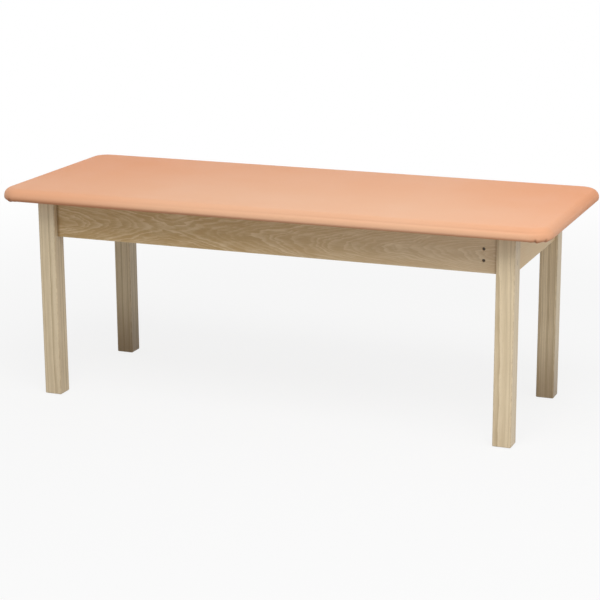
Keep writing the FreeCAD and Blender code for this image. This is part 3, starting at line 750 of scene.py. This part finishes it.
def cover_profile(bottom, top):
    """Inset and level of each ring of the cover, from the cut edge under the deck to the top."""
    roll_start = top - PAD_CROWN - ROLL_FALL
    rings = [(inset * MM, bottom) for inset in TUCK_INSETS]
    for turn in np.linspace(0.0, math.pi / 2, ROUND_RINGS):
        rings.append((UNDER_TURN * (1 - math.sin(turn)), bottom + UNDER_TURN * (1 - math.cos(turn))))
    for turn in np.radians(ROLL_TURNS):
        rings.append((ROLL_RUN * (1 - math.cos(turn)), roll_start + ROLL_FALL * math.sin(turn)))
    return rings + [(inset * MM, top - PAD_CROWN) for inset in TOP_INSETS]


def grid_faces(numbers):
    """Four-sided faces between the rows and columns of numbered points."""
    corners = (numbers[:-1, :-1], numbers[:-1, 1:], numbers[1:, 1:], numbers[1:, :-1])
    return np.stack(corners, -1).reshape(-1, 4).tolist()


def pad_skin(profile, half_x, half_y, corner, segments):
    """Open skin of rings up to a filled top: its points, faces and the number of points in a ring."""
    step, arcs = segments
    straights = (round(2 * (half_x - corner) / step), round(2 * (half_y - corner) / step))
    rings = []
    for inset, level in profile:
        ring_corner = max(corner - inset, TUCK_CORNER)
        sides = side_points(half_x - inset, half_y - inset, ring_corner, straights, arcs)
        ring = ring_of(sides)
        rings.append(np.column_stack([ring, np.full(len(ring), level)]))
    around = len(ring)
    last = (len(rings) - 1) * around
    grid = filled_grid(sides)
    inside = grid[1:-1, 1:-1].reshape(-1, 2)
    top = np.column_stack([inside, np.full(len(inside), level)])
    points = np.concatenate(rings + [top])
    inner = points[last:]
    inner[:, 2] += crown_level(edge_distance(inner, half_x, half_y, corner))
    ring_numbers = np.arange(last + around).reshape(-1, around)
    faces = grid_faces(np.column_stack([ring_numbers, ring_numbers[:, 0]]))
    places = np.arange(grid.shape[0] * grid.shape[1]).reshape(grid.shape[:2])
    numbers = np.empty(places.size, int)
    numbers[ring_of((places[0], places[:, -1], places[-1], places[:, 0]))] = ring_numbers[-1]
    numbers[places[1:-1, 1:-1].ravel()] = last + around + np.arange(len(inside))
    return points, faces + grid_faces(numbers.reshape(places.shape)), around


def mesh_of(name, points, faces):
    """Smooth-shaded mesh of points and faces."""
    mesh = bpy.data.meshes.new(name)
    mesh.from_pydata([tuple(p) for p in points], [], faces)
    mesh.shade_smooth()
    return mesh


def swelled(points, faces, held, limit):
    """How a cloth simulation with air under it moves the points, none further than the limit."""
    scene = bpy.context.scene
    sheet = add_object("swelling_cover", mesh_of("swelling_cover", points, faces))
    pins = sheet.vertex_groups.new(name="held")
    pins.add([int(i) for i in np.nonzero(held)[0]], 1.0, "REPLACE")
    cloth = sheet.modifiers.new("swell", "CLOTH")
    for rule, value in CLOTH_RULES.items():
        setattr(cloth.settings, rule, value)
    cloth.settings.vertex_group_mass = pins.name
    cloth.settings.effector_weights.gravity = 0
    cloth.collision_settings.use_collision = False
    cloth.point_cache.frame_start = 1
    cloth.point_cache.frame_end = SWELL_FRAMES
    for number in range(1, SWELL_FRAMES + 1):
        scene.frame_set(number)
    shaped = sheet.evaluated_get(bpy.context.evaluated_depsgraph_get()).to_mesh()
    moved = np.empty(len(points) * 3, np.float32)
    shaped.vertices.foreach_get("co", moved)
    scene.frame_set(1)
    shift = moved.reshape(-1, 3) - points
    far = np.maximum(np.linalg.norm(shift, axis=1), 1e-9)
    shift *= np.minimum(1.0, limit * np.tanh(far / limit) / far)[:, None]
    bpy.data.objects.remove(sheet)
    return shift


def carried_over(shift, source, points):
    """Shift at each point, from the six nearest points of a coarser skin."""
    tree = kdtree.KDTree(len(source))
    for number, place in enumerate(source):
        tree.insert(place, number)
    tree.balance()
    result = np.zeros_like(points)
    for number, place in enumerate(points):
        near = tree.find_n(place, 6)
        weights = np.array([1 / (distance + 2 * MM) ** 2 for _, _, distance in near])
        found = shift[[index for _, index, _ in near]]
        result[number] = (found * weights[:, None]).sum(0) / weights.sum()
    return result


def skin_normals(points, faces):
    """Outward direction at each point of a skin."""
    quads = np.array(faces)
    a, b, c, d = (points[quads[:, corner]] for corner in range(4))
    cross = np.cross(c - a, d - b)
    normals = np.zeros_like(points)
    for corner in range(4):
        np.add.at(normals, quads[:, corner], cross)
    return normals / np.maximum(np.linalg.norm(normals, axis=1), 1e-12)[:, None]


def corner_share(points, half_x, half_y, corner):
    """Way round each corner's arc, 0 to 1, or -1 away from the corners."""
    offset = corner_offset(points, half_x, half_y, corner)
    share = np.arctan2(offset[:, 1], offset[:, 0]) / (math.pi / 2)
    return np.where((offset > 0).all(axis=1), share, -1.0)


def waves(points, per_x, per_y, level):
    """Smooth noise over the pad, so many waves to the metre along X and Y."""
    return np.array([noise.noise(Vector((p[0] * per_x, p[1] * per_y, level))) for p in points])


def dressed(points, faces, pad, half_x, half_y, bottom, top):
    """Cover with its crease along the roll, folds gathered under the corners and a slack surface.

    Returns the points and the shade of the folds at each of them.
    """
    normals = skin_normals(points, faces)
    x, _, z = points.T
    distance = edge_distance(points, half_x, half_y, PAD_CORNER)

    # Crease, uneven along the roll, fainter at the ends and to the left
    crease_level = top - PAD_CROWN - ROLL_FALL + CREASE_RISE
    strength = np.clip(0.65 + 0.8 * waves(points, 2.2, 2.2, 3.1), 0.2, 1.2)
    on_side = np.exp(-(((z - crease_level) / CREASE_WIDTH) ** 2)) * (distance < CREASE_INSET)
    at_end = step_up(np.abs(x), *over(half_x, CREASE_END))
    to_right = np.maximum(step_up(x, *CREASE_START), 0.1)
    depth = -pad.crease * strength * on_side * (1 - 0.85 * at_end) * to_right

    # Folds, each rising slowly to its crest and dropping fast, with shade in the valley between two
    share = corner_share(points, half_x, half_y, PAD_CORNER)
    phase = (share * pad.pleats + FOLD_LEAD) % 1.0
    gathered = np.clip(6 * np.minimum(share, 1 - share), 0.0, 1.0) * (0.4 + 0.6 * share)
    fold = np.where(phase < FOLD_CREST, phase / FOLD_CREST, (1 - phase) / (1 - FOLD_CREST)) ** 1.5
    under = step_up(z, bottom + FOLD_REACH, bottom)
    cut_fade = step_up(distance, PAD_TUCK, PAD_TUCK - CUT_FADE)
    depth += pad.pleat * fold * gathered * under**1.6 * (0.35 + 0.65 * cut_fade)
    valley = 0.5 - np.abs((phase + 0.04) % 1.0 - 0.5)
    shade = np.exp(-((valley / 0.1) ** 2)) * gathered
    shade *= step_up(z, *over(bottom, FOLD_SHADE_FADE))

    # Slack on the top
    on_top = step_up(distance, 0.5 * ROLL_RUN, 1.5 * ROLL_RUN)
    depth += SLACK_DEPTH * waves(points, 5.0, 6.0, 8.7) * on_top
    return points + normals * depth[:, None], shade


class TABLE_OT_vinyl_cover(bpy.types.Operator):
    """Make the vinyl cover, swelled over the foam and gathered under the deck"""

    bl_idname = "table.vinyl_cover"
    bl_label = "Vinyl Cover"

    def execute(self, context):
        pad = context.scene.table_pad
        low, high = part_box("vinyl_cover")
        half_x, half_y = high.x, high.y
        profile = cover_profile(low.z, high.z)
        points, faces, _ = pad_skin(profile, half_x, half_y, PAD_CORNER, COVER_MESH)
        coarse, coarse_faces, _ = pad_skin(profile, half_x, half_y, PAD_CORNER, CLOTH_MESH)
        held = coarse[:, 2] < low.z + 0.5 * UNDER_TURN
        shift = swelled(coarse, coarse_faces, held, pad.swell)
        points = points + carried_over(shift, coarse, points)
        points, shade = dressed(points, faces, pad, half_x, half_y, low.z, high.z)
        points[:, 2] = np.minimum(points[:, 2], high.z + pad.swell)
        mesh = mesh_of("pad_cover", points, faces)
        mesh.attributes.new(FOLD_SHADE, "FLOAT", "POINT").data.foreach_set("value", shade)
        mesh.materials.append(vinyl_material(pad))
        cover = add_piece("pad_cover", mesh, "vinyl_cover")
        wall = cover.modifiers.new("cover_wall", "SOLIDIFY")
        wall.thickness = COVER_WALL
        wall.offset = -1.0
        return {"FINISHED"}


class TABLE_OT_foam_slab(bpy.types.Operator):
    """Make the foam slab under the cover"""

    bl_idname = "table.foam_slab"
    bl_label = "Foam Slab"

    def execute(self, context):
        pad = context.scene.table_pad
        low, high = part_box("foam_slab")
        run = ROLL_RUN - FOAM_GAP
        roll_start = high.z - PAD_CROWN - FOAM_SLACK - ROLL_FALL
        first_turn = math.asin((low.z - roll_start) / ROLL_FALL)
        profile = [(inset * MM, low.z) for inset in FOAM_BASE_INSETS]
        for turn in np.linspace(first_turn, math.pi / 2, ROUND_RINGS):
            profile.append((run * (1 - math.cos(turn)), roll_start + ROLL_FALL * math.sin(turn)))
        profile.append((FOAM_TOP_INSET * MM, roll_start + ROLL_FALL))
        halves = (high.x - FOAM_SLACK, high.y - FOAM_SLACK)
        points, faces, around = pad_skin(profile, *halves, PAD_CORNER - FOAM_GAP, FOAM_MESH)
        faces.append(tuple(range(around - 1, -1, -1)))
        mesh = mesh_of("pad_foam", points, faces)
        mesh.materials.append(foam_material(pad))
        foam = add_piece("pad_foam", mesh, "foam_slab")
        return {"FINISHED"}


def staple_places():
    """Place and heading of each staple along the cover's turned-in edge."""
    low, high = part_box("vinyl_cover")
    rows = (high.x - STAPLE_INSET, high.y - STAPLE_INSET)
    places = []
    for axis, heading in enumerate((0.0, math.pi / 2)):
        span = 2 * (high[axis] - PAD_CORNER)
        count = round(span / STAPLE_PITCH)
        for number in range(count):
            for side in (-1, 1):
                spot = [side * row for row in rows]
                spot[axis] = span / count * (number + 0.5) - span / 2
                places.append((*spot, low.z, heading))
    shift = (PAD_CORNER - STAPLE_INSET) * (1 - math.sqrt(0.5))
    for side_x in (-1, 1):
        for side_y in (-1, 1):
            spot = (side_x * (rows[0] - shift), side_y * (rows[1] - shift))
            places.append((*spot, low.z, -side_x * side_y * math.pi / 4))
    return places


def staple_tree():
    """Bent-wire staples set on points, each turned by its own heading and a small stray angle."""
    sizes = ("Crown", "Leg", "Wire", "Stray")
    net, given, put = new_tree(
        "GeometryNodeTree",
        "wire_staples",
        {"Geometry": ("Geometry",), "Float": sizes, "Int": ("Seed",), "Material": ("Material",)},
        {"Geometry": ("Geometry",)},
    )
    sides = {"Width": given["Leg"], "Height": given["Crown"]}
    loop = net.first("GeometryNodeCurvePrimitiveQuadrilateral", sides)
    opened = net.first("GeometryNodeSetSplineCyclic", {"Geometry": loop, "Cyclic": False})
    bend = {"Curve": opened, "Count": 2, "Radius": net.times(given["Wire"], 1.4)}
    rounded = net.first("GeometryNodeFilletCurve", bend, mode="POLY")
    circle = {"Resolution": 6, "Radius": net.times(given["Wire"], 0.5)}
    section = net.first("GeometryNodeCurvePrimitiveCircle", circle)
    sweep = {"Curve": rounded, "Profile Curve": section, "Fill Caps": True}
    wire = net.first("GeometryNodeCurveToMesh", sweep)
    lift = net.times(net.less(given["Leg"], given["Wire"]), 0.5)
    upright = Matrix(((0, 1, 0), (0, 0, 1), (1, 0, 0))).to_euler()
    stand = {"Geometry": wire, "Translation": net.joined(0.0, 0.0, lift), "Rotation": upright}
    staple = net.first("GeometryNodeTransform", stand)
    heading = net.first("GeometryNodeInputNamedAttribute", {"Name": "heading"}, data_type="FLOAT")
    limits = {2: net.times(given["Stray"], -1.0), 3: given["Stray"], "Seed": given["Seed"]}
    stray = net.node("FunctionNodeRandomValue", limits, data_type="FLOAT").outputs[1]
    angles = net.joined(0.0, 0.0, net.plus(heading, stray))
    turn = net.first("FunctionNodeEulerToRotation", {"Euler": angles})
    places = {"Points": given["Geometry"], "Instance": staple, "Rotation": turn}
    row = net.first("GeometryNodeInstanceOnPoints", places)
    real = net.first("GeometryNodeRealizeInstances", {"Geometry": row})
    smooth = net.first("GeometryNodeSetShadeSmooth", {"Geometry": real})
    coat = {"Geometry": smooth, "Material": given["Material"]}
    net.feed(put["Geometry"], net.first("GeometryNodeSetMaterial", coat))
    return net.tree


def mesh_from_tree(name, base, tree, values):
    """Plain mesh that a Geometry Nodes tree makes of a base mesh, its inputs set by name."""
    maker = add_object(name, base)
    modifier = maker.modifiers.new(name, "NODES")
    modifier.node_group = tree
    for item in tree.interface.items_tree:
        if item.in_out == "INPUT" and item.name in values:
            modifier[item.identifier] = values[item.name]
    ready = maker.evaluated_get(bpy.context.evaluated_depsgraph_get())
    mesh = bpy.data.meshes.new_from_object(ready)
    bpy.data.objects.remove(maker)
    return mesh


class TABLE_OT_staples(bpy.types.Operator):
    """Make the wire staples that hold the cover to the deck"""

    bl_idname = "table.staples"
    bl_label = "Staples"

    def execute(self, context):
        fittings = context.scene.table_fittings
        places = staple_places()
        base = bpy.data.meshes.new("staple_places")
        base.from_pydata([place[:3] for place in places], [], [])
        heading = base.attributes.new("heading", "FLOAT", "POINT")
        heading.data.foreach_set("value", [place[3] for place in places])
        values = {
            "Crown": fittings.staple_crown - fittings.staple_wire,
            "Leg": fittings.staple_leg,
            "Wire": fittings.staple_wire,
            "Stray": fittings.staple_stray,
            "Seed": STAPLE_SEED,
            "Material": zinc_material(fittings),
        }
        mesh = mesh_from_tree("staple_row", base, staple_tree(), values)
        add_piece("staple_row", mesh, "cover_staples")
        return {"FINISHED"}


class TABLE_OT_deck_board(bpy.types.Operator):
    """Finish the plywood deck board"""

    bl_idname = "table.deck_board"
    bl_label = "Deck Board"

    def execute(self, context):
        paint("deck_board", plywood_material(context.scene.table_timber))
        return {"FINISHED"}


class TABLE_OT_legs(bpy.types.Operator):
    """Finish the four legs in straight-grained wood"""

    bl_idname = "table.legs"
    bl_label = "Legs"

    def execute(self, context):
        timber = context.scene.table_timber
        marks = figure(timber.leg_rings / MM, lean=0.006, turn=200.0, wander=7.0, lines=0.75, mottle=0.3)
        hearts = ((40.0, 62.0, 88.0), (-120.0, -48.0, 96.0), (200.0, 75.0, -70.0), (90.0, -66.0, -84.0))
        # Painted light and shade: each leg's field and lines made lighter or darker by its level
        painted_light_levels = (1.0, 1.1, 0.9, 1.04)
        # Painted shade shares: darker towards the feet, most on the rear legs, and under the pad at the
        # heads
        painted_shades = ((0.08, 0.0), (0.08, 0.22), (0.66, 0.0), (0.57, 0.06))
        for node, heart, shade, painted_shade in zip(LEGS, hearts, painted_light_levels, painted_shades):
            field = Vector(timber.leg_field) * shade
            line = Vector(timber.leg_line) * shade
            colours = (field, line, timber.pores, timber.arris_dark)
            paint(node, board_material(f"wood_{node}", node, "Z", heart, marks, colours, painted_shade))
        return {"FINISHED"}


class TABLE_OT_aprons(bpy.types.Operator):
    """Finish the aprons in flat-sawn wood, with arched figure on the long ones"""

    bl_idname = "table.aprons"
    bl_label = "Aprons"

    def execute(self, context):
        timber = context.scene.table_timber
        long_colours = (timber.apron_field, timber.apron_line, timber.pores, timber.arris_pale)
        end_colours = (timber.end_field, timber.end_line, timber.pores, timber.arris_pale)
        boards = (
            ("front_apron", "X", (-320.0, -6.0, 125.0), -0.085, long_colours, timber.apron_pale),
            ("rear_apron", "X", (260.0, 14.0, -118.0), 0.085, long_colours, timber.apron_pale),
            ("left_end_apron", "Y", (60.0, -30.0, 80.0), 0.03, end_colours, None),
            ("right_end_apron", "Y", (-90.0, 22.0, -74.0), 0.03, end_colours, None),
        )
        for node, grain, heart, lean, colours, fade in boards:
            marks = figure(timber.apron_rings / MM, lean, turn=120.0, wander=22.0, lines=0.52, mottle=1.0)
            paint(node, board_material(f"wood_{node}", node, grain, heart, marks, colours, fade=fade))
        return {"FINISHED"}


class TABLE_OT_bearers(bpy.types.Operator):
    """Finish the cross bearers under the deck"""

    bl_idname = "table.bearers"
    bl_label = "Cross Bearers"

    def execute(self, context):
        timber = context.scene.table_timber
        colours = (timber.apron_field, timber.apron_line, timber.pores, timber.arris_pale)
        marks = figure(timber.apron_rings / MM, lean=0.02, turn=150.0, wander=8.0, lines=0.7)
        hearts = ((30.0, 70.0, 40.0), (-160.0, -52.0, 64.0), (110.0, 58.0, -50.0))
        for node, heart in zip(BEARERS, hearts):
            paint(node, board_material(f"wood_{node}", node, "Y", heart, marks, colours))
        return {"FINISHED"}


class TABLE_OT_plugs(bpy.types.Operator):
    """Finish the wooden plugs over the bolt heads"""

    bl_idname = "table.plugs"
    bl_label = "Bolt Plugs"

    def execute(self, context):
        timber = context.scene.table_timber
        colours = (timber.leg_field, timber.leg_line, timber.pores, timber.arris_dark)
        marks = figure(rings=5.0, lean=0.01, turn=150.0, wander=6.0, lines=0.9)
        heart = (20.0, 35.0, 44.0)
        paint("bolt_plugs", board_material("wood_plugs", "bolt_plugs", "Z", heart, marks, colours))
        return {"FINISHED"}


class TABLE_OT_fittings(bpy.types.Operator):
    """Finish the bolts, washers, barrel nuts, brackets, screws and nails"""

    bl_idname = "table.fittings"
    bl_label = "Steel Fittings"

    def execute(self, context):
        fittings = context.scene.table_fittings
        plate = bpy.data.materials.get("zinc_plate") or zinc_material(fittings)
        for node in ZINC_PIECES:
            paint(node, plate)
        paint("barrel_nuts", oxide_material(fittings))
        return {"FINISHED"}


class TABLE_OT_glides(bpy.types.Operator):
    """Finish the plastic glides under the legs"""

    bl_idname = "table.glides"
    bl_label = "Glides"

    def execute(self, context):
        plastic = glide_material(context.scene.table_fittings)
        for node in GLIDES:
            paint(node, plastic)
        return {"FINISHED"}


def add_lamp(name, place, target, size, power):
    """Square soft lamp turned to a target."""
    lamp = bpy.data.lights.new(name, "AREA")
    lamp.shape = "SQUARE"
    lamp.size = size
    lamp.energy = power
    holder = add_object(name, lamp)
    holder.location = place
    holder.rotation_euler = (Vector(target) - Vector(place)).to_track_quat("-Z", "Y").to_euler()


def seen_share(net):
    """1 for what the camera sees, directly or in metal and glass, and 0 for light on the object."""
    path = net.node("ShaderNodeLightPath").outputs
    seen = net.plus(path["Is Camera Ray"], path["Is Glossy Ray"])
    return net.math("MINIMUM", net.plus(seen, path["Is Transmission Ray"]), 1.0)


def floor_material(stage):
    """Pale floor that keeps the table's shadow on a nearly white ground."""
    material, net, vector = new_material("pale_floor")
    colour = net.mixed(stage.floor, (0.8, 0.8, 0.8), net.cloudy(vector, scale=3.0), 0.04)
    matt = net.first("ShaderNodeBsdfDiffuse", {"Color": colour})
    glow = net.first("ShaderNodeEmission", {"Color": (1.0, 1.0, 1.0), "Strength": 1.0})
    distance = net.node("ShaderNodeVectorMath", {0: vector}, operation="LENGTH").outputs["Value"]
    white = net.weighed(net.eased(distance, *WHITE_REACH), 1.0 - NEAR_WHITE, NEAR_WHITE)
    both = {0: net.times(seen_share(net), white), 1: matt, 2: glow}
    net.node("ShaderNodeOutputMaterial", {"Surface": net.first("ShaderNodeMixShader", both)})
    return material


def sky_world(stage):
    """Even light from all round, white where the camera sees it."""
    world = bpy.data.worlds.new("studio_sky")
    world.use_nodes = True
    world.node_tree.nodes.clear()
    net = Wiring(world.node_tree)
    strength = net.weighed(seen_share(net), 1.0 - stage.sky, stage.sky)
    sky = net.first("ShaderNodeBackground", {"Color": (1.0, 1.0, 1.0), "Strength": strength})
    net.node("ShaderNodeOutputWorld", {"Surface": sky})
    bpy.context.scene.world = world


def add_camera(stage):
    """Camera at the photograph's place, turned by its way round, its tilt and its roll."""
    lens = bpy.data.cameras.new("photo_camera")
    lens.lens = stage.lens
    lens.sensor_width = 36.0
    lens.clip_end = 100.0
    camera = add_object("photo_camera", lens)
    way_round, down, roll = stage.camera_turn
    aim = Euler((math.pi / 2 - down, 0.0, way_round)).to_matrix() @ Matrix.Rotation(roll, 3, "Z")
    camera.matrix_world = Matrix.LocRotScale(Vector(stage.camera_place), aim, None)
    bpy.context.scene.camera = camera


class TABLE_OT_stage(bpy.types.Operator):
    """Set up the floor, the soft lamps and the camera"""

    bl_idname = "table.stage"
    bl_label = "Stage"

    def execute(self, context):
        scene = context.scene
        stage = scene.table_stage
        scene.view_settings.view_transform = "Standard"
        ways = ((-1, -1), (1, -1), (1, 1), (-1, 1))
        corners = [(x * FLOOR_REACH, y * FLOOR_REACH, 0.0) for x, y in ways]
        mesh = mesh_of("studio_floor", corners, [(0, 1, 2, 3)])
        mesh.materials.append(floor_material(stage))
        floor = add_object("studio_floor", mesh)
        add_lamp("key_lamp", (1.1, -2.5, 4.9), (0.0, 0.0, 0.5), size=3.0, power=stage.key_power)
        add_lamp("side_lamp", (2.4, -0.7, 1.7), (0.8, 0.0, 0.4), size=1.2, power=stage.side_power)
        sky_world(stage)
        add_camera(stage)
        return {"FINISHED"}


STEPS = (
    TABLE_OT_stage,
    TABLE_OT_vinyl_cover,
    TABLE_OT_foam_slab,
    TABLE_OT_staples,
    TABLE_OT_deck_board,
    TABLE_OT_legs,
    TABLE_OT_aprons,
    TABLE_OT_bearers,
    TABLE_OT_plugs,
    TABLE_OT_fittings,
    TABLE_OT_glides,
)
SETTINGS = {
    "table_pad": PadSettings,
    "table_timber": TimberSettings,
    "table_fittings": FittingSettings,
    "table_stage": StageSettings,
}


class TABLE_PT_looks(bpy.types.Panel):
    """Settings and steps of the treatment table's looks"""

    bl_idname = "TABLE_PT_looks"
    bl_label = "Treatment Table"
    bl_space_type = "VIEW_3D"
    bl_region_type = "UI"
    bl_category = "Table"

    def draw(self, context):
        layout = self.layout
        for name, group in SETTINGS.items():
            column = layout.column(align=True)
            for setting in group.__annotations__:
                column.prop(getattr(context.scene, name), setting)
        for step in STEPS:
            layout.operator(step.bl_idname)


CLASSES = (*SETTINGS.values(), *STEPS, TABLE_PT_looks)


def register():
    """Adds the classes and gives the scene its settings."""
    for each in CLASSES:
        bpy.utils.register_class(each)
    for name, group in SETTINGS.items():
        setattr(bpy.types.Scene, name, bpy.props.PointerProperty(type=group))


def unregister():
    """Removes what register added."""
    for name in SETTINGS:
        delattr(bpy.types.Scene, name)
    for each in reversed(CLASSES):
        bpy.utils.unregister_class(each)


def main():
    """Makes the table's looks, one operator after the other."""
    register()
    for step in STEPS:
        family, name = step.bl_idname.split(".")
        getattr(getattr(bpy.ops, family), name)()


if __name__ == "__main__":
    main()
